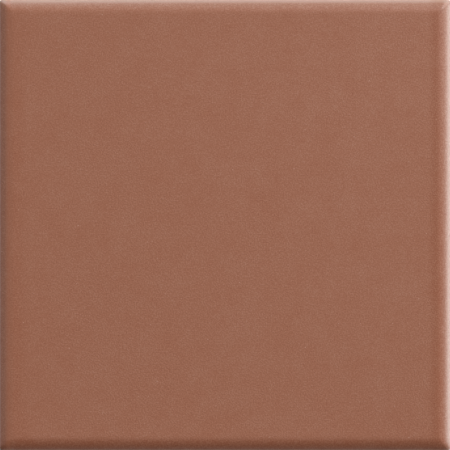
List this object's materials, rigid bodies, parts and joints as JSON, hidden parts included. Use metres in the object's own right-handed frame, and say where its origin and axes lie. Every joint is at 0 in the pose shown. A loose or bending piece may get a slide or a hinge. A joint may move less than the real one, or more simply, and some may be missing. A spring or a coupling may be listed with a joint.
{
  "type": "ceramic wall tile",
  "caption": "Square pressed ceramic wall tile with a flat matt terracotta glazed face, rounded cushion edges and a recessed keyed back.",
  "frame": {"origin": "middle of the back, in the plane of its rib crests, where the tile is bedded", "axes": "+Z out of the glazed face; +X to the right and +Y up as the face is seen on a wall"},
  "size_m": [0.1, 0.1, 0.007],
  "materials": {
    "matt_glaze": "matte"
  },
  "bodies": {
    "root": {"tile": "matt_glaze"}
  },
  "joints": []
}
